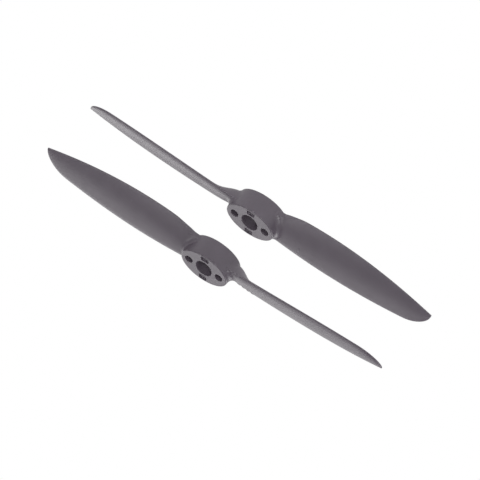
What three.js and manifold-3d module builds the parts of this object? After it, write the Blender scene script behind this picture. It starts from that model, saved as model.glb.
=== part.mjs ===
// A handed pair of two-bladed propellers for a small multirotor: one turns anticlockwise seen from
// above, the other is its mirror image. Each is one moulding, lying on the back face of its hub.
// Millimetres, +Z up: the front faces, towards which the propellers pull, look up.

import * as THREE from "three";
import { mergeVertices } from "three/addons/utils/BufferGeometryUtils.js";
import Module from "manifold-3d";

const wasm = await Module();
wasm.setup();

// Driving dimensions

const DIAMETER = 136; // tip to tip
const HUB_HEIGHT = 8.2;
const HUB_EDGE = 0.3; // chamfer round both faces

const BORE_DIAMETER = 6.4;
const SIDE_WALL = 3.25; // between the bore and the hub's long sides
const BOLT_DIAMETER = 3;
const BOLT_SPACING = 12; // centre to centre, along the blades
const END_WALL = 1.7; // between a bolt hole and the hub's end

const SLOT_LENGTH = 3; // recesses in the front face, one in each side wall
const SLOT_WIDTH = 2.1;
const SLOT_DEPTH = 0.6;
const SLOT_CORNER = 0.6;

const MAX_CHORD = 14.2;
const WIDEST_AT = 0.35; // as a fraction of the blade, from hub to tip
const CHORD_TAPER = 1.32; // loss of chord per squared fraction away from the widest place
const ROOT_ANGLE = 21; // degrees between chord and hub face
const TIP_ANGLE = 13.4;
const ANGLE_EASE = 1.5; // above 1 keeps the root's angle longer
const ROOT_OFFSET = -1.5; // middle of the chord, forward of the blade axis
const TIP_OFFSET = 0.9;
const ROOT_LIFT = 3.6; // middle of the chord above the hub's back face
const TIP_LIFT = 3.05;
const ROOT_THICKNESS = 1.6;
const TIP_THICKNESS = 0.9;
const EDGE_THICKNESS = 0.4; // trailing edge
const CAMBER = 0.05; // of the chord
const NOSE = 0.16; // part of the chord that the rounded leading edge takes

const TIP_ROUND = 10; // length over which the leading edge curves round to the tip
const TIP_FULLNESS = 2.5; // 2 is an ellipse, more is squarer
const TIP_WIDTH = 0.8;

const FAIRING_LENGTH = 8.5; // the blade's underside deepens towards the hub over this length
const FAIRING_FLOOR = 0.9; // lowest part of the fairing, above the hub's back face
const FAIRING_ROUND = 0.3; // part of the chord over which the fairing curves down to its floor
const ROOT_TUCK = 0.2; // part of the chord that the trailing edge loses where the blade meets the hub
const ROOT_OVERLAP = 3.2; // the blade starts this far inside the hub

const PAIR_SPACING = 39; // between the two bores, across the blades
const PAIR_STAGGER = 14.8; // between the two bores, along the blades

const CUT_MARGIN = 1; // how far a cutter runs past the face it opens
const MERGE_DISTANCE = 1e-4; // vertices closer than this are one
const ROUND_SEGMENTS = 48;
const HOLE_SEGMENTS = 24;

// How finely the blade is divided: across the section, and along the blade
const NOSE_STEPS = 4;
const BACK_STEPS = 5;
const FAIRING_STEPS = 6;
const BLADE_STEPS = 6;
const TIP_STEPS = 8;

const PLASTIC_COLOUR = 0x4b474d;
const PLASTIC_ROUGHNESS = 0.45;

// Worked-out dimensions

const hubLength = BOLT_SPACING + BOLT_DIAMETER + 2 * END_WALL;
const hubWidth = BORE_DIAMETER + 2 * SIDE_WALL;
const rootRadius = hubLength / 2;
const tipRadius = DIAMETER / 2;
const fairingRadius = rootRadius + FAIRING_LENGTH;
const slotOffset = (BORE_DIAMETER + SIDE_WALL) / 2;

// A closed geometry as a manifold solid, and back.

function toSolid(geometry) {
  const bare = geometry.clone();
  bare.deleteAttribute("normal");
  bare.deleteAttribute("uv");
  const merged = mergeVertices(bare, MERGE_DISTANCE);
  const mesh = new wasm.Mesh({
    numProp: 3,
    vertProperties: new Float32Array(merged.attributes.position.array),
    triVerts: new Uint32Array(merged.index.array),
  });
  return new wasm.Manifold(mesh);
}

function toGeometry(solid) {
  const mesh = solid.getMesh();
  const geometry = new THREE.BufferGeometry();
  geometry.setAttribute("position", new THREE.BufferAttribute(mesh.vertProperties, 3));
  geometry.setIndex(new THREE.BufferAttribute(mesh.triVerts, 1));
  geometry.computeVertexNormals();
  return geometry;
}

// Hub

function hubBody() {
  const outline = new THREE.Shape();
  outline.absellipse(0, 0, hubLength / 2, hubWidth / 2, 0, 2 * Math.PI);
  const geometry = new THREE.ExtrudeGeometry(outline, {
    depth: HUB_HEIGHT - 2 * HUB_EDGE,
    bevelThickness: HUB_EDGE,
    bevelSize: HUB_EDGE,
    bevelOffset: -HUB_EDGE,
    bevelSegments: 1,
    curveSegments: ROUND_SEGMENTS,
  });
  return toSolid(geometry.translate(0, 0, HUB_EDGE));
}

function throughHole(diameter, x, segments) {
  const length = HUB_HEIGHT + 2 * CUT_MARGIN;
  const geometry = new THREE.CylinderGeometry(diameter / 2, diameter / 2, length, segments);
  geometry.rotateX(Math.PI / 2);
  return toSolid(geometry.translate(x, 0, HUB_HEIGHT / 2));
}

function slotCutter(side) {
  const x = SLOT_LENGTH / 2 - SLOT_CORNER;
  const y = SLOT_WIDTH / 2 - SLOT_CORNER;
  const quarter = Math.PI / 2;
  const outline = new THREE.Shape();
  outline.absarc(x, y, SLOT_CORNER, 0, quarter);
  outline.absarc(-x, y, SLOT_CORNER, quarter, 2 * quarter);
  outline.absarc(-x, -y, SLOT_CORNER, 2 * quarter, 3 * quarter);
  outline.absarc(x, -y, SLOT_CORNER, 3 * quarter, 4 * quarter);
  const geometry = new THREE.ExtrudeGeometry(outline, {
    depth: SLOT_DEPTH + CUT_MARGIN,
    bevelEnabled: false,
    curveSegments: HOLE_SEGMENTS / 4,
  });
  return toSolid(geometry.translate(0, side * slotOffset, HUB_HEIGHT - SLOT_DEPTH));
}

// Blade. The +X blade moves towards +Y, so its leading edge is on the +Y side and higher.

// How far along the blade a radius lies: 0 at the hub's end, 1 at the tip.
function along(radius) {
  return (radius - rootRadius) / (tipRadius - rootRadius);
}

// The place of the tip's rounding that a radius lies at: 0 where it starts, 1 at the tip.
function tipProgress(radius) {
  const start = tipRadius - TIP_ROUND;
  return THREE.MathUtils.clamp((radius - start) / TIP_ROUND, 0, 1);
}

function tipFactor(radius) {
  return Math.sqrt(1 - Math.pow(tipProgress(radius), TIP_FULLNESS));
}

function fullChord(radius) {
  return MAX_CHORD * (1 - CHORD_TAPER * (along(radius) - WIDEST_AT) ** 2);
}

function rootTuck(radius) {
  const inward = THREE.MathUtils.clamp((fairingRadius - radius) / FAIRING_LENGTH, 0, 1);
  return ROOT_TUCK * inward ** 2;
}

function chordAngle(radius) {
  const ease = Math.max(0, along(radius)) ** ANGLE_EASE;
  return THREE.MathUtils.degToRad(THREE.MathUtils.lerp(ROOT_ANGLE, TIP_ANGLE, ease));
}

function chordOffset(radius) {
  return THREE.MathUtils.lerp(ROOT_OFFSET, TIP_OFFSET, along(radius) ** 2);
}

// Half the section's thickness at a fraction of the chord from the leading edge.
function halfThickness(fraction, thickness) {
  const edge = Math.min(EDGE_THICKNESS, thickness) / 2;
  const half = thickness / 2;
  if (fraction < NOSE) {
    return half * Math.sqrt(1 - (1 - fraction / NOSE) ** 2);
  }
  return THREE.MathUtils.lerp(half, edge, ((fraction - NOSE) / (1 - NOSE)) ** 2);
}

// Chord fractions from leading to trailing edge, closer together round the nose.
function chordFractions() {
  const fractions = [];
  for (let i = 0; i < NOSE_STEPS; i++) {
    fractions.push(NOSE * (1 - Math.cos((i / NOSE_STEPS) * (Math.PI / 2))));
  }
  for (let i = 0; i <= BACK_STEPS; i++) {
    fractions.push(THREE.MathUtils.lerp(NOSE, 1, i / BACK_STEPS));
  }
  return fractions;
}

// The blade's outline at one radius: up the front surface from trailing to leading edge, then back
// along the underside.
function bladeSection(radius) {
  const whole = fullChord(radius);
  const chord = Math.max(TIP_WIDTH, whole * (tipFactor(radius) - rootTuck(radius)));
  const angle = chordAngle(radius);
  const reach = along(radius);
  const fullThickness = THREE.MathUtils.lerp(ROOT_THICKNESS, TIP_THICKNESS, reach);
  const thickness = THREE.MathUtils.lerp(EDGE_THICKNESS, fullThickness, tipFactor(radius));
  const lift = THREE.MathUtils.lerp(ROOT_LIFT, TIP_LIFT, reach);
  const forward = new THREE.Vector2(Math.cos(angle), Math.sin(angle));
  const middle = new THREE.Vector2(chordOffset(radius), lift);
  const trailing = middle.addScaledVector(forward, (rootTuck(radius) - 0.5) * whole);
  const depth = THREE.MathUtils.smoothstep(fairingRadius - radius, 0, FAIRING_LENGTH);

  function surfacePoint(fraction, side) {
    const rise = CAMBER * chord * 4 * fraction * (1 - fraction);
    const out = side * halfThickness(fraction, thickness);
    const point = new THREE.Vector2((1 - fraction) * chord, rise + out);
    return point.rotateAround(new THREE.Vector2(), angle).add(trailing);
  }

  const nose = surfacePoint(0, 0);

  function undersidePoint(fraction) {
    const point = surfacePoint(fraction, -1);
    const turn = Math.sin((Math.PI / 2) * Math.min(1, fraction / FAIRING_ROUND));
    const fairing = Math.min(point.y, THREE.MathUtils.lerp(nose.y, FAIRING_FLOOR, turn));
    point.y = THREE.MathUtils.lerp(point.y, fairing, depth);
    return point;
  }

  const fractions = chordFractions();
  const front = fractions.toReversed().map((fraction) => surfacePoint(fraction, 1));
  const under = fractions.slice(1).map(undersidePoint);
  return [...front, ...under];
}

// Radii of the sections: even steps along the fairing and the blade, then closer round the tip.
function stationRadii() {
  const roundStart = tipRadius - TIP_ROUND;
  const fairingStart = rootRadius - ROOT_OVERLAP / 2;
  const radii = [rootRadius - ROOT_OVERLAP];
  for (let i = 0; i < FAIRING_STEPS; i++) {
    radii.push(THREE.MathUtils.lerp(fairingStart, fairingRadius, i / FAIRING_STEPS));
  }
  for (let i = 0; i < BLADE_STEPS; i++) {
    radii.push(THREE.MathUtils.lerp(fairingRadius, roundStart, i / BLADE_STEPS));
  }
  for (let i = 0; i <= TIP_STEPS; i++) {
    radii.push(roundStart + TIP_ROUND * Math.sin((i / TIP_STEPS) * (Math.PI / 2)));
  }
  return radii;
}

function bladeBody() {
  const radii = stationRadii();
  const sections = radii.map(bladeSection);
  const count = sections[0].length;
  const positions = [];
  sections.forEach((section, row) => {
    section.forEach((point) => positions.push(radii[row], point.x, point.y));
  });
  const indices = [];
  for (let row = 0; row < radii.length - 1; row++) {
    for (let i = 0; i < count; i++) {
      const next = (i + 1) % count;
      const a = row * count + i;
      const b = row * count + next;
      const c = a + count;
      const d = b + count;
      indices.push(a, c, b, b, c, d);
    }
  }
  const last = (radii.length - 1) * count;
  for (const [i, j, k] of THREE.ShapeUtils.triangulateShape(sections[0], [])) {
    indices.push(i, k, j);
  }
  for (const [i, j, k] of THREE.ShapeUtils.triangulateShape(sections.at(-1), [])) {
    indices.push(last + i, last + j, last + k);
  }
  const geometry = new THREE.BufferGeometry();
  geometry.setAttribute("position", new THREE.Float32BufferAttribute(positions, 3));
  geometry.setIndex(indices);
  return geometry;
}

// Propeller

function propellerGeometry() {
  const blade = bladeBody();
  const opposite = blade.clone().rotateZ(Math.PI);
  let solid = hubBody().add(toSolid(blade)).add(toSolid(opposite));
  solid = solid.subtract(throughHole(BORE_DIAMETER, 0, ROUND_SEGMENTS));
  for (const side of [-1, 1]) {
    solid = solid.subtract(throughHole(BOLT_DIAMETER, (side * BOLT_SPACING) / 2, HOLE_SEGMENTS));
    solid = solid.subtract(slotCutter(side));
  }
  return toGeometry(solid);
}

// The hand is 1 for the anticlockwise propeller and -1 for its mirror image.
function propeller(name, hand) {
  const plastic = new THREE.MeshStandardMaterial({
    color: PLASTIC_COLOUR,
    roughness: PLASTIC_ROUGHNESS,
    metalness: 0,
  });
  const mesh = new THREE.Mesh(propellerGeometry(), plastic);
  mesh.name = name;
  mesh.scale.y = hand;
  mesh.position.set((hand * PAIR_STAGGER) / 2, (hand * PAIR_SPACING) / 2, 0);
  return mesh;
}

const pair = new THREE.Group();
pair.add(propeller("ccw_propeller", 1));
pair.add(propeller("cw_propeller", -1));

export default pair;
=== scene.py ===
"""A handed pair of two-bladed drone propellers, moulded in dark plastic, on a plain white table.

The CAD frame gives the overall sizes and places. Each propeller is rebuilt here as one fine mesh:
two blades lofted from their section formula and filleted into a hub with rounded rims and holes.
Meshes are worked out in millimetres about the propeller's own axis, then placed in metres.
"""

import math

import bmesh
import bpy
import numpy as np
from mathutils import Matrix, Vector


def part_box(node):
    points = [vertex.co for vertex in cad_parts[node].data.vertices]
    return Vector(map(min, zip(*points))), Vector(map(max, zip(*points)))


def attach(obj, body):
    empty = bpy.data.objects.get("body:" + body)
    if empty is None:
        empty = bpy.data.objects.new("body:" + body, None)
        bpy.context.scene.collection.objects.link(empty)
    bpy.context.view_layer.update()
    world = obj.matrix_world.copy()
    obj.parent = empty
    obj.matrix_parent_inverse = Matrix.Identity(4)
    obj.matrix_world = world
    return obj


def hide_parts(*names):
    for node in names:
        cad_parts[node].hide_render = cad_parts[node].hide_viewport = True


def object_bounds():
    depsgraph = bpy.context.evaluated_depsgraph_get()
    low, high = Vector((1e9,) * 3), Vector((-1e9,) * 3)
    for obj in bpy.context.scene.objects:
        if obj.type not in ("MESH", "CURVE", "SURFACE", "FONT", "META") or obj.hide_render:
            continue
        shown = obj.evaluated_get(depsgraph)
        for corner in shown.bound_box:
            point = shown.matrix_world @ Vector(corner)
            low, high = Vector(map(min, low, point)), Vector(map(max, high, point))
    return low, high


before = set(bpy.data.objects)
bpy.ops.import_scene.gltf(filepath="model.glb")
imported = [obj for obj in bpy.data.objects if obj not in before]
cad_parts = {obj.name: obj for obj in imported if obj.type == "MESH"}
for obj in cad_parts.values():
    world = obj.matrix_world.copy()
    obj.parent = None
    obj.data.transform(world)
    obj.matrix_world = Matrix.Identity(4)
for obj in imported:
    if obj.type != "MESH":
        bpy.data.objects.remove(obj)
cad_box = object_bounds()

MM = 0.001

# Propeller, in millimetres

ccw_low, ccw_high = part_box("ccw_propeller")
DIAMETER = (ccw_high.x - ccw_low.x) / MM
HUB_HEIGHT = (ccw_high.z - ccw_low.z) / MM

HUB_LENGTH = 18.4
HUB_WIDTH = 12.9
RIM_ROUND = 0.4

BORE_DIAMETER = 6.4
BOLT_DIAMETER = 3.0
BOLT_SPACING = 12.0
HOLE_ROUND = 0.12

SLOT_LENGTH = 3.0
SLOT_WIDTH = 2.1
SLOT_DEPTH = 0.6
SLOT_CORNER = 0.6
SLOT_OFFSET = (BORE_DIAMETER + HUB_WIDTH) / 4

MAX_CHORD = 14.2
WIDEST_AT = 0.35
CHORD_TAPER = 1.32
ROOT_ANGLE = math.radians(21)
TIP_ANGLE = math.radians(13.4)
ANGLE_EASE = 1.5
ROOT_OFFSET = -1.5
TIP_OFFSET = 0.9
ROOT_LIFT = 3.6
TIP_LIFT = 3.05
ROOT_THICKNESS = 1.6
TIP_THICKNESS = 0.9
EDGE_THICKNESS = 0.4
EDGE_ROUND = 0.12
CAMBER = 0.05
NOSE = 0.16

TIP_ROUND = 10.0
TIP_FULLNESS = 2.5
TIP_WIDTH = 0.8

FAIRING_LENGTH = 8.5
FAIRING_FLOOR = 0.9
FAIRING_ROUND = 0.3
ROOT_TUCK = 0.2

FILLET = 2.0  # radius over the blade's faces, where the hub's wall leaves room for it
EDGE_FILLET = 2.5  # radius in front of the leading edge and behind the trailing edge
FILLET_SHARE = 0.96  # of the full turn from blade to hub wall, so that the surfaces cross cleanly
LEAST_STEEPNESS = 0.05  # below this the fillet runs along the wall, and its height doesn't matter
ROOT_OVERLAP = 0.8
SLIVER = 0.002  # edges shorter than this are closed up
CUT_MARGIN = 1.0  # how far a cutter runs past the face it opens
SHARP_ANGLE = math.radians(35)  # edges that turn more than this are shaded sharp

BAR_DEPTH = 0.2  # how far a raised bar reaches into the blade
BAR_HEIGHT = 0.12
MARK_LENGTH = 2.2  # plain bars where a maker's raised characters would be
MARK_WIDTH = 0.6
MARK_RADII = (11.6, 13.3, 15.0, 16.7)
MARK_PLACE = 3.7  # from the trailing edge
# Single bars: radius, place from the trailing edge, length, width and height
GATE_BAR = (18.2, 10.6, 1.4, 0.5, 0.12)
FLOW_LINE = (33.0, 2.4, 4.0, 0.25, 0.05)

SEAM_HEIGHT = 0.07  # mould seam along the leading edge
SEAM_TURN = 0.11  # radians of the nose that the seam takes on each side

ROOT_RADIUS = HUB_LENGTH / 2
TIP_RADIUS = DIAMETER / 2
FAIRING_RADIUS = ROOT_RADIUS + FAIRING_LENGTH

# How finely the blade is divided: round the section, and along the blade

NOSE_STEPS = 12
BACK_STEPS = 26
EDGE_STEPS = 4
FAIRING_STATIONS = 18
BLADE_STATIONS = 44
TIP_STATIONS = 25


def lerp(start, end, share):
    return start + (end - start) * share


def smoothstep(value):
    value = np.clip(value, 0, 1)
    return value * value * (3 - 2 * value)


# Blade section. The +X blade moves towards +Y, so its leading edge is on the +Y side and higher.


def along(radius):
    return (radius - ROOT_RADIUS) / (TIP_RADIUS - ROOT_RADIUS)


def tip_factor(radius):
    progress = np.clip((radius - TIP_RADIUS + TIP_ROUND) / TIP_ROUND, 0, 1)
    return np.sqrt(1 - progress**TIP_FULLNESS)


def full_chord(radius):
    return MAX_CHORD * (1 - CHORD_TAPER * (along(radius) - WIDEST_AT) ** 2)


def root_tuck(radius):
    inward = np.clip((FAIRING_RADIUS - radius) / FAIRING_LENGTH, 0, 1)
    return ROOT_TUCK * inward**2


def chord_length(radius):
    return np.maximum(TIP_WIDTH, full_chord(radius) * (tip_factor(radius) - root_tuck(radius)))


def chord_angle(radius):
    return lerp(ROOT_ANGLE, TIP_ANGLE, np.maximum(0, along(radius)) ** ANGLE_EASE)


def thickness_at(radius):
    full = lerp(ROOT_THICKNESS, TIP_THICKNESS, along(radius))
    return lerp(EDGE_THICKNESS, full, tip_factor(radius))


class Loop:
    """The points round a blade section. Each has a kind, the stretch that it lies on (nose, back or
    trailing edge), a side, 1 on the front surface and -1 on the underside, and a value: a fraction
    of the back, or the angle turned round the nose or the trailing edge."""

    def __init__(self, kind, value, side):
        self.kind = kind
        self.value = value
        self.side = side

    def shifted(self, steps):
        return Loop(*(np.roll(part, -steps) for part in (self.kind, self.value, self.side)))

    def fractions(self, chord):
        """Fraction of the chord from the leading edge, for each loop point."""
        edge_share = EDGE_ROUND / chord
        nose = NOSE * (1 - np.cos(self.value))
        back = lerp(NOSE, 1 - edge_share, self.value)
        edge = 1 - edge_share * (1 - np.cos(self.value))
        return np.where(self.kind == "nose", nose, np.where(self.kind == "back", back, edge))

    def seam(self):
        """How much of the mould seam each loop point carries."""
        share = np.maximum(0, 1 - (self.value / SEAM_TURN) ** 2)
        return np.where(self.kind == "nose", share, 0)

    def edge_loss(self):
        """How much thinner the rounded trailing edge is, on each side."""
        return np.where(self.kind == "edge", EDGE_ROUND * (1 - np.sin(self.value)), 0)


def section_loop():
    """From the trailing edge over the front surface to the nose, and back along the underside."""
    nose = [SEAM_TURN / 2, *np.linspace(SEAM_TURN, math.pi / 2, NOSE_STEPS + 1)]
    back = np.linspace(0, 1, BACK_STEPS + 1)[1:]
    edge = np.linspace(math.pi / 2, 0, EDGE_STEPS + 1)[1:]
    half = [("nose", turn) for turn in nose]
    half += [("back", share) for share in back]
    half += [("edge", turn) for turn in edge]
    front = [(kind, value, 1) for kind, value in reversed(half)]
    under = [(kind, value, -1) for kind, value in half]
    rows = [*front, ("nose", 0.0, 1), *under]
    kind = np.array([row[0] for row in rows])
    value = np.array([row[1] for row in rows])
    side = np.array([row[2] for row in rows], float)
    return Loop(kind, value, side)


def half_thickness(fraction, thickness):
    edge = np.minimum(EDGE_THICKNESS, thickness) / 2
    half = thickness / 2
    nose = half * np.sqrt(np.maximum(0, 1 - (1 - np.minimum(fraction, NOSE) / NOSE) ** 2))
    back = lerp(half, edge, ((fraction - NOSE) / (1 - NOSE)) ** 2)
    return np.where(fraction < NOSE, nose, back)


def blade_surface(radius, fraction, side, seam=0, edge_loss=0):
    """(y, z) on the front surface, side 1, or the underside, side -1, at a fraction of the chord."""
    whole = full_chord(radius)
    chord = chord_length(radius)
    thickness = thickness_at(radius)
    angle = chord_angle(radius)
    cos, sin = np.cos(angle), np.sin(angle)
    shift = (root_tuck(radius) - 0.5) * whole
    trail_y = lerp(ROOT_OFFSET, TIP_OFFSET, along(radius) ** 2) + shift * cos
    trail_z = lerp(ROOT_LIFT, TIP_LIFT, along(radius)) + shift * sin

    rise = CAMBER * chord * 4 * fraction * (1 - fraction)
    half = half_thickness(fraction, thickness) - edge_loss
    forward = (1 - fraction) * chord + SEAM_HEIGHT * seam * tip_factor(radius)
    outward = rise + side * half
    y = trail_y + forward * cos - outward * sin
    z = trail_z + forward * sin + outward * cos

    nose_z = trail_z + chord * sin
    turn = np.sin(math.pi / 2 * np.minimum(1, fraction / FAIRING_ROUND))
    fairing = np.minimum(z, lerp(nose_z, FAIRING_FLOOR, turn))
    depth = smoothstep((FAIRING_RADIUS - radius) / FAIRING_LENGTH)
    return y, np.where(side < 0, lerp(z, fairing, depth), z)


def section_points(radius, loop):
    """(y, z) of each loop point, where radius holds one value for each loop point."""
    fractions = loop.fractions(chord_length(radius))
    return blade_surface(radius, fractions, loop.side, loop.seam(), loop.edge_loss())


def section_normals(radius, loop):
    """Outward (y, z) directions at the loop points, across the section."""
    y_before, z_before = section_points(radius, loop.shifted(-1))
    y_after, z_after = section_points(radius, loop.shifted(1))
    normal = np.stack([z_before - z_after, y_after - y_before], -1)
    return normal / np.linalg.norm(normal, axis=-1, keepdims=True)


# Fillet between blade and hub: a ball rolls in the corner, touching the blade and the hub's wall.


def hub_wall(offset, count=721):
    """Points and outward directions along the +X half of the hub's outline, moved out by offset."""
    turn = np.linspace(-math.pi / 2, math.pi / 2, count)
    a, b = HUB_LENGTH / 2, HUB_WIDTH / 2
    points = np.stack([a * np.cos(turn), b * np.sin(turn)], -1)
    normals = np.stack([b * np.cos(turn), a * np.sin(turn)], -1)
    normals /= np.linalg.norm(normals, axis=-1, keepdims=True)
    return points + offset * normals, normals


def fillet_radius(radius, loop):
    """The ball's radius at each loop point, kept small enough to stay on the wall, off its rims."""
    _, z = section_points(radius, loop)
    upward = section_normals(radius, loop)[:, 1]
    room = np.where(upward > 0, HUB_HEIGHT - z, z) - RIM_ROUND
    steepness = np.maximum(np.abs(upward), LEAST_STEEPNESS)
    return np.minimum(lerp(EDGE_FILLET, FILLET, steepness), room / steepness)


def fillet_rows(loop, steps=9, rounds=40):
    """Rows of (x, y, z) points from inside the hub, round the fillet and out to the blade, and the
    radius at which each loop point leaves the fillet."""
    count = len(loop.side)
    radius = np.full(count, ROOT_RADIUS)
    ball = fillet_radius(radius, loop)
    wall = np.zeros((count, 2))
    # Each round moves the radii half way to where the balls would touch the wall.
    for _ in range(rounds):
        y, z = section_points(radius, loop)
        normal = section_normals(radius, loop)
        centre_y = y + ball * normal[:, 0]
        for i in range(count):
            points, normals = hub_wall(ball[i])
            wall[i, 0] = np.interp(centre_y[i], points[:, 1], normals[:, 0])
            wall[i, 1] = np.interp(centre_y[i], points[:, 1], normals[:, 1])
            reach = np.interp(centre_y[i], points[:, 1], points[:, 0])
            radius[i] = (radius[i] + reach) / 2
    y, z = section_points(radius, loop)
    normal = section_normals(radius, loop)
    from_blade = np.stack([np.zeros(count), normal[:, 0], normal[:, 1]], -1)
    to_wall = np.stack([wall[:, 0], wall[:, 1], np.zeros(count)], -1)
    centre = np.stack([radius, y, z], -1) + ball[:, None] * from_blade
    between = np.arccos(np.clip((from_blade * to_wall).sum(-1), -1, 1))[:, None]
    rows = []
    # Seen from the ball's centre, each row turns an even step from the blade towards the wall.
    for share in np.linspace(0, FILLET_SHARE, steps + 1):
        weight_from = np.sin((1 - share) * between)
        weight_to = np.sin(share * between)
        direction = (weight_from * from_blade + weight_to * to_wall) / np.sin(between)
        rows.append(centre - ball[:, None] * direction)
    rows.append(rows[-1] - ROOT_OVERLAP * to_wall)
    return rows[:0:-1], radius


def blade_stations():
    """Shares of the way from fillet to tip: close together in the fairing and round the tip."""
    fairing = FAIRING_LENGTH / (TIP_RADIUS - ROOT_RADIUS)
    rounding = TIP_ROUND / (TIP_RADIUS - ROOT_RADIUS)
    shares = list(np.linspace(0, fairing, FAIRING_STATIONS, endpoint=False))
    shares += list(np.linspace(fairing, 1 - rounding, BLADE_STATIONS, endpoint=False))
    shares += list(1 - rounding + rounding * np.sin(np.linspace(0, math.pi / 2, TIP_STATIONS)))
    return shares


def blade_mesh():
    """(vertices, faces) of the +X blade, closed inside the hub and at the tip."""
    loop = section_loop()
    rows, leave = fillet_rows(loop)
    for share in blade_stations():
        radius = lerp(leave, TIP_RADIUS, share)
        y, z = section_points(radius, loop)
        rows.append(np.stack([radius, y, z], -1))
    return skin(rows)


def skin(rows):
    """(vertices, faces) of the closed surface through rows of points, each row a closed loop."""
    count = len(rows[0])
    vertices = np.concatenate(rows)
    faces = []
    for row in range(len(rows) - 1):
        for i in range(count):
            following = (i + 1) % count
            a, b = row * count + i, row * count + following
            faces.append((a, a + count, b + count, b))
    last = (len(rows) - 1) * count
    faces.append(tuple(range(count)))
    faces.append(tuple(range(last + count - 1, last - 1, -1)))
    return vertices, faces


# Hub, cutters and raised bars


def ellipse_row(half_length, half_width, z, count=192):
    turn = np.linspace(0, 2 * math.pi, count, endpoint=False)
    return np.stack([half_length * np.cos(turn), half_width * np.sin(turn), np.full(count, z)], -1)


def quarter_round(radius, steps=5):
    """(inset, rise) pairs round an edge, from the face it starts on to the wall it ends on."""
    turns = np.linspace(0, math.pi / 2, steps + 1)
    return [(radius * (1 - math.sin(turn)), radius * (1 - math.cos(turn))) for turn in turns]


def hub_mesh(steps=6, face_margin=0.15):
    """An oval block with rounded rims."""
    profile = [(RIM_ROUND + face_margin, 0.0), *quarter_round(RIM_ROUND, steps)]
    profile += [(inset, HUB_HEIGHT - z) for inset, z in reversed(profile)]
    rows = [ellipse_row(HUB_LENGTH / 2 - inset, HUB_WIDTH / 2 - inset, z) for inset, z in profile]
    return skin([row[::-1] for row in rows])


def rounded_row(length, width, radius, z, count=64):
    """The outline of a rounded rectangle, which is a circle when the radius is half of each side."""
    turn = np.linspace(0, 2 * math.pi, count, endpoint=False) + math.pi / count
    x = radius * np.cos(turn) + (length / 2 - radius) * np.sign(np.cos(turn))
    y = radius * np.sin(turn) + (width / 2 - radius) * np.sign(np.sin(turn))
    return np.stack([x, y, np.full(count, z)], -1)


def rounded_cutter(length, width, radius, floor):
    """A cutter that opens the front face and leaves a rounded lip. It stops at a rounded floor or,
    when the floor is 0, runs through the back face and leaves a rounded lip there too."""
    edge = quarter_round(HOLE_ROUND)
    if floor:
        profile = [(-inset, floor + rise) for inset, rise in edge]
    else:
        profile = [(HOLE_ROUND, -CUT_MARGIN)]
        profile += edge
    profile += [(inset, HUB_HEIGHT - rise) for inset, rise in reversed(edge)]
    profile.append((HOLE_ROUND, HUB_HEIGHT + CUT_MARGIN))
    rows = [
        rounded_row(length + 2 * flare, width + 2 * flare, radius + flare, z)
        for flare, z in profile
    ]
    return skin([row[::-1] for row in rows])


def round_hole(diameter):
    return rounded_cutter(diameter, diameter, diameter / 2, 0)


def raised_bar(radius, from_trailing, length, width, height, steps=4):
    """A round-ended bar on the blade's front surface, with its length along the chord. Its middle
    is at radius, and from_trailing away from the trailing edge."""
    edge = quarter_round(min(height, width / 3), steps)
    profile = [(0.0, -BAR_DEPTH)]
    profile += [(inset, height - rise) for inset, rise in reversed(edge)]
    rows = []
    for inset, level in profile:
        across = width - 2 * inset
        outline = rounded_row(length - 2 * inset, across, across / 2, level, 32)
        along_chord, x = outline[:, 0], radius + outline[:, 1]
        fraction = 1 - (from_trailing + along_chord) / chord_length(x)
        y, z = blade_surface(x, fraction, 1)
        angle = chord_angle(x)
        rows.append(np.stack([x, y - level * np.sin(angle), z + level * np.cos(angle)], -1))
    return skin(rows)


def moved(mesh, x, y):
    vertices, faces = mesh
    return vertices + np.array([x, y, 0.0]), faces


def turned(mesh):
    """The same mesh turned half way round the propeller's axis."""
    vertices, faces = mesh
    return vertices * np.array([-1.0, -1.0, 1.0]), faces


def hub_cutters():
    cutters = [round_hole(BORE_DIAMETER)]
    floor = HUB_HEIGHT - SLOT_DEPTH
    for side in (-1, 1):
        cutters.append(moved(round_hole(BOLT_DIAMETER), side * BOLT_SPACING / 2, 0))
        slot = rounded_cutter(SLOT_LENGTH, SLOT_WIDTH, SLOT_CORNER, floor)
        cutters.append(moved(slot, 0, side * SLOT_OFFSET))
    return cutters


def ccw_bars():
    marks = [raised_bar(r, MARK_PLACE, MARK_LENGTH, MARK_WIDTH, BAR_HEIGHT) for r in MARK_RADII]
    return [turned(mark) for mark in marks] + [raised_bar(*FLOW_LINE)]


def cw_bars():
    return [turned(raised_bar(*GATE_BAR))]


# Blender objects


def new_object(name, mesh):
    vertices, faces = mesh
    data = bpy.data.meshes.new(name)
    data.from_pydata([tuple(v) for v in vertices], [], faces)
    data.validate()
    piece = bpy.data.objects.new(name, data)
    bpy.context.scene.collection.objects.link(piece)
    return piece


def combine(piece, other, operation):
    """Joins other to piece, or cuts it from piece, and deletes other."""
    modifier = piece.modifiers.new(operation, "BOOLEAN")
    modifier.operation = operation
    modifier.solver = "MANIFOLD"
    modifier.object = other
    graph = bpy.context.evaluated_depsgraph_get()
    made = bpy.data.meshes.new_from_object(piece.evaluated_get(graph))
    piece.modifiers.clear()
    piece.data = made
    bpy.data.objects.remove(other)


def clear_slivers(data):
    """Closes up the slivers left where the fillets run almost flush into the hub's wall."""
    fine = bmesh.new()
    fine.from_mesh(data)
    bmesh.ops.dissolve_degenerate(fine, edges=fine.edges, dist=SLIVER)
    bmesh.ops.remove_doubles(fine, verts=fine.verts, dist=SLIVER)
    fine.to_mesh(data)
    fine.free()


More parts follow.
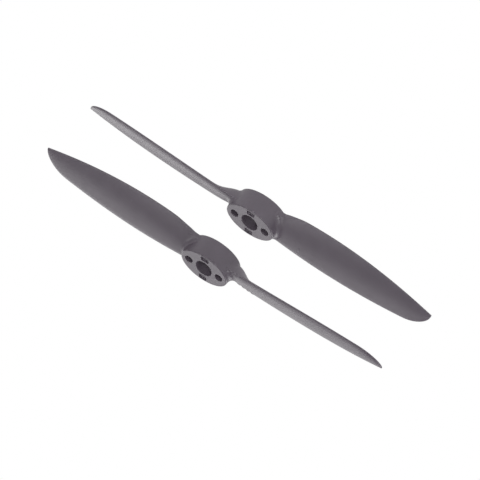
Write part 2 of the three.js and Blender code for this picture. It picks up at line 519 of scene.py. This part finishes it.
def propeller(name, node, hand, bars):
    """One propeller where its CAD node is. The hand is 1 for anticlockwise and -1 for its mirror."""
    blade = blade_mesh()
    piece = new_object(name, hub_mesh())
    combine(piece, new_object("blade", blade), "UNION")
    combine(piece, new_object("opposite_blade", turned(blade)), "UNION")
    for bar in bars:
        combine(piece, new_object("bar", bar), "UNION")
    for cutter in hub_cutters():
        combine(piece, new_object("cutter", cutter), "DIFFERENCE")
    clear_slivers(piece.data)
    low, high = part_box(node)
    place = Matrix.Translation(Vector(((low.x + high.x) / 2, (low.y + high.y) / 2, low.z)))
    piece.data.transform(place @ Matrix.Diagonal((MM, hand * MM, MM, 1)))
    if hand < 0:
        piece.data.flip_normals()
    piece.data.shade_smooth()
    piece.data.set_sharp_from_angle(angle=SHARP_ANGLE)
    weighting = piece.modifiers.new("flat faces keep flat shading", "WEIGHTED_NORMAL")
    weighting.keep_sharp = True
    return piece


# Material: linear colours, and noise scales in cells for each metre

BODY_DARK = (0.070, 0.058, 0.073)
BODY_PALE = (0.096, 0.080, 0.100)
WORN = (0.125, 0.108, 0.130)
WORN_REACH = 0.25 * MM  # how far wear reaches from an edge
WORN_COSINES = (0.8, 0.99)  # of the angle between bevelled and real surface: all worn, not worn
FLOW_SCALE = 180
PATCH_SCALE = 420
PATCH_ROUGHNESS = (0.36, 0.46)
GRAIN_SCALE = 6000
GRAIN_DEPTH = 0.02 * MM
GRAIN_STRENGTH = 0.03
REFRACTION = 1.5


def add_node(tree, kind, **values):
    node = tree.nodes.new(kind)
    for name, value in values.items():
        setattr(node, name, value)
    return node


def noise(tree, vector, scale, detail):
    node = add_node(tree, "ShaderNodeTexNoise")
    node.inputs["Scale"].default_value = scale
    node.inputs["Detail"].default_value = detail
    tree.links.new(vector, node.inputs["Vector"])
    return node.outputs["Fac"]


def ramp_values(tree, factor, low, high, start=0.0, end=1.0):
    node = add_node(tree, "ShaderNodeMapRange")
    node.inputs["From Min"].default_value = start
    node.inputs["From Max"].default_value = end
    node.inputs["To Min"].default_value = low
    node.inputs["To Max"].default_value = high
    tree.links.new(factor, node.inputs["Value"])
    return node.outputs["Result"]


def mixed_colour(tree, factor, low, high):
    node = add_node(tree, "ShaderNodeMix", data_type="RGBA")
    tree.links.new(factor, node.inputs["Factor"])
    for socket, value in (("A", low), ("B", high)):
        target = [s for s in node.inputs if s.name == socket and s.type == "RGBA"][0]
        if isinstance(value, bpy.types.NodeSocket):
            tree.links.new(value, target)
        else:
            target.default_value = (*value, 1)
    return [s for s in node.outputs if s.type == "RGBA"][0]


def edge_mask(tree, radius):
    """1 on worn edges, 0 on open surface: where a bevelled normal differs from the real one."""
    bevel = add_node(tree, "ShaderNodeBevel", samples=4)
    bevel.inputs["Radius"].default_value = radius
    geometry = add_node(tree, "ShaderNodeNewGeometry")
    dot = add_node(tree, "ShaderNodeVectorMath", operation="DOT_PRODUCT")
    tree.links.new(bevel.outputs["Normal"], dot.inputs[0])
    tree.links.new(geometry.outputs["Normal"], dot.inputs[1])
    return ramp_values(tree, dot.outputs["Value"], 1, 0, *WORN_COSINES)


def moulded_plastic(name):
    """Dark glass-filled nylon: flow mottling, fine grain, and edges rubbed a little paler."""
    material = bpy.data.materials.new(name)
    material.use_nodes = True
    tree = material.node_tree
    shader = tree.nodes["Principled BSDF"]
    place = add_node(tree, "ShaderNodeTexCoord").outputs["Object"]

    flow = noise(tree, place, FLOW_SCALE, detail=3)
    body = mixed_colour(tree, flow, BODY_DARK, BODY_PALE)
    worn = mixed_colour(tree, edge_mask(tree, WORN_REACH), body, WORN)
    tree.links.new(worn, shader.inputs["Base Color"])

    patches = noise(tree, place, PATCH_SCALE, detail=2)
    tree.links.new(ramp_values(tree, patches, *PATCH_ROUGHNESS), shader.inputs["Roughness"])

    grain = noise(tree, place, GRAIN_SCALE, detail=2)
    bump = add_node(tree, "ShaderNodeBump")
    bump.inputs["Strength"].default_value = GRAIN_STRENGTH
    bump.inputs["Distance"].default_value = GRAIN_DEPTH
    tree.links.new(grain, bump.inputs["Height"])
    tree.links.new(bump.outputs["Normal"], shader.inputs["Normal"])
    shader.inputs["IOR"].default_value = REFRACTION
    return material


# Studio

TABLE_REACH = 3.0
TABLE_GAP = 0.02 * MM  # the table lies just under the pair
LIGHT_DISTANCE = 2.0
SOFT_LIGHTS = (  # name, turn and rise in degrees, size in metres, brightness
    ("low_back_right", 145, 16, 1.4, 2.1),
    ("low_back_left", 225, 16, 1.4, 5),
    ("high_back", 150, 52, 1.0, 2.6),
    ("high_front", 45, 60, 0.8, 5),
    ("left_side", 270, 40, 0.7, 1),
    ("front_fill", -20, 30, 0.6, 13),
)
HORIZON_FADE = (0.22, 0.48)  # sines of the heights at which the white horizon starts and stops fading
OVERHEAD_STRENGTH = 0.14


def glowing_white(name):
    material = bpy.data.materials.new(name)
    material.use_nodes = True
    shader = material.node_tree.nodes["Principled BSDF"]
    shader.inputs["Base Color"].default_value = (0, 0, 0, 1)
    shader.inputs["Specular IOR Level"].default_value = 0
    shader.inputs["Emission Color"].default_value = (1, 1, 1, 1)
    shader.inputs["Emission Strength"].default_value = 1.0
    return material


def white_table():
    """A light table: plain white, and so bright that nothing casts a shadow on it."""
    z = cad_box[0].z - TABLE_GAP
    signs = ((-1, -1), (1, -1), (1, 1), (-1, 1))
    corners = np.array([(x * TABLE_REACH, y * TABLE_REACH, z) for x, y in signs])
    table = new_object("table", (corners, [(0, 1, 2, 3)]))
    table.data.materials.append(glowing_white("table_white"))


def soft_light(name, turn, rise, size, brightness):
    """A square softbox aimed at the pair, as bright per area at any size. The turn goes round from
    -Y towards +X."""
    turn, rise = math.radians(turn), math.radians(rise)
    level = math.cos(rise)
    towards = Vector((math.sin(turn) * level, -math.cos(turn) * level, math.sin(rise)))
    data = bpy.data.lights.new(name, "AREA")
    data.shape = "SQUARE"
    data.size = size
    data.energy = brightness * math.pi * size**2
    light = bpy.data.objects.new(name, data)
    light.location = towards * LIGHT_DISTANCE
    light.rotation_euler = towards.to_track_quat("Z", "Y").to_euler()
    light.visible_camera = False
    bpy.context.scene.collection.objects.link(light)


def white_horizon():
    """A surrounding that is white at table height, as the table is, and nearly dark overhead."""
    world = bpy.data.worlds.new("studio")
    world.use_nodes = True
    tree = world.node_tree
    background = tree.nodes["Background"]
    background.inputs["Color"].default_value = (1, 1, 1, 1)
    height = add_node(tree, "ShaderNodeSeparateXYZ")
    tree.links.new(add_node(tree, "ShaderNodeTexCoord").outputs["Generated"], height.inputs[0])
    low, high = HORIZON_FADE
    strength = ramp_values(tree, height.outputs["Z"], 1.0, OVERHEAD_STRENGTH, low, high)
    tree.links.new(strength, background.inputs["Strength"])
    bpy.context.scene.world = world


def studio():
    white_table()
    white_horizon()
    for light in SOFT_LIGHTS:
        soft_light(*light)
    bpy.context.scene.view_settings.view_transform = "Standard"


# Camera: a long lens, nearly upside down, looking down on the front faces from the -Y side

CAMERA_AIM = Vector((-2.46, -0.97, 0)) * MM  # from the middle of the pair
CAMERA_DISTANCE = 2.9334
CAMERA_TURN = math.radians(19.63)  # round from -Y towards -X
CAMERA_RISE = math.radians(30.49)
CAMERA_ROLL = math.radians(-137.32)
CAMERA_FIELD = math.radians(3.055)


def photo_camera():
    data = bpy.data.cameras.new("camera")
    data.angle = CAMERA_FIELD
    data.clip_end = 100
    camera = bpy.data.objects.new("camera", data)
    level = math.cos(CAMERA_RISE)
    backward = Vector(
        (
            -math.sin(CAMERA_TURN) * level,
            -math.cos(CAMERA_TURN) * level,
            math.sin(CAMERA_RISE),
        )
    )
    right = Vector((0, 0, 1)).cross(backward).normalized()
    up = backward.cross(right)
    rolled_right = right * math.cos(CAMERA_ROLL) + up * math.sin(CAMERA_ROLL)
    rolled_up = backward.cross(rolled_right)
    aim = (cad_box[0] + cad_box[1]) / 2 + CAMERA_AIM
    turn = Matrix((rolled_right, rolled_up, backward)).transposed().to_4x4()
    camera.matrix_world = Matrix.Translation(aim + backward * CAMERA_DISTANCE) @ turn
    bpy.context.scene.collection.objects.link(camera)
    bpy.context.scene.camera = camera


photo_camera()
studio()
for hand, side, bars in ((1, "ccw", ccw_bars()), (-1, "cw", cw_bars())):
    node = f"{side}_propeller"
    piece = propeller(f"{node}_moulding", node, hand, bars)
    piece.data.materials.clear()
    piece.data.materials.append(moulded_plastic(f"{side}_nylon"))
    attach(piece, node)
    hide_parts(node)
